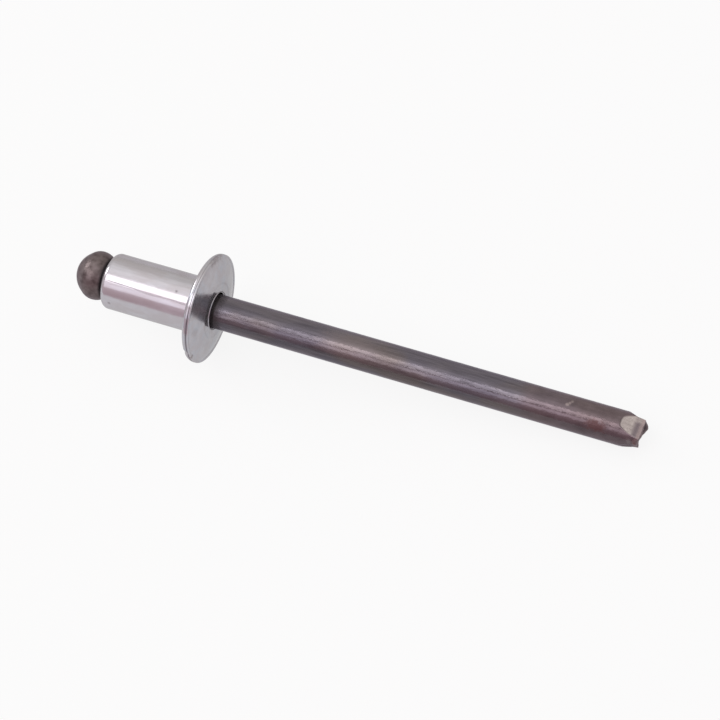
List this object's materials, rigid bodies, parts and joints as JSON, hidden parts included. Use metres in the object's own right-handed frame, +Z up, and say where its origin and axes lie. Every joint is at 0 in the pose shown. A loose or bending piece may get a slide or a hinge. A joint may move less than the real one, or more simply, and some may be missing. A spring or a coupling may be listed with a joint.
{
  "type": "blind rivet",
  "caption": "Unset blind rivet: a smooth sleeve with a thin domed flange, on a dark steel pull mandrel with a bulb head, a long stem and a cropped, torn end.",
  "frame": {"origin": "on the surface that the rivet lies on, under the middle of its box", "axes": "+X towards the torn end of the mandrel, +Z up; the rivet lies on the rim of its flange and on the cropped end of its stem, so its axis dips about 5 degrees towards +X"},
  "size_m": [0.034, 0.0062, 0.0062],
  "materials": {
    "body_aluminium": "bright drawn",
    "mandrel_steel": "dark oxide on drawn wire"
  },
  "bodies": {
    "root": {"rivet_body": "body_aluminium", "mandrel": "mandrel_steel"}
  },
  "joints": []
}
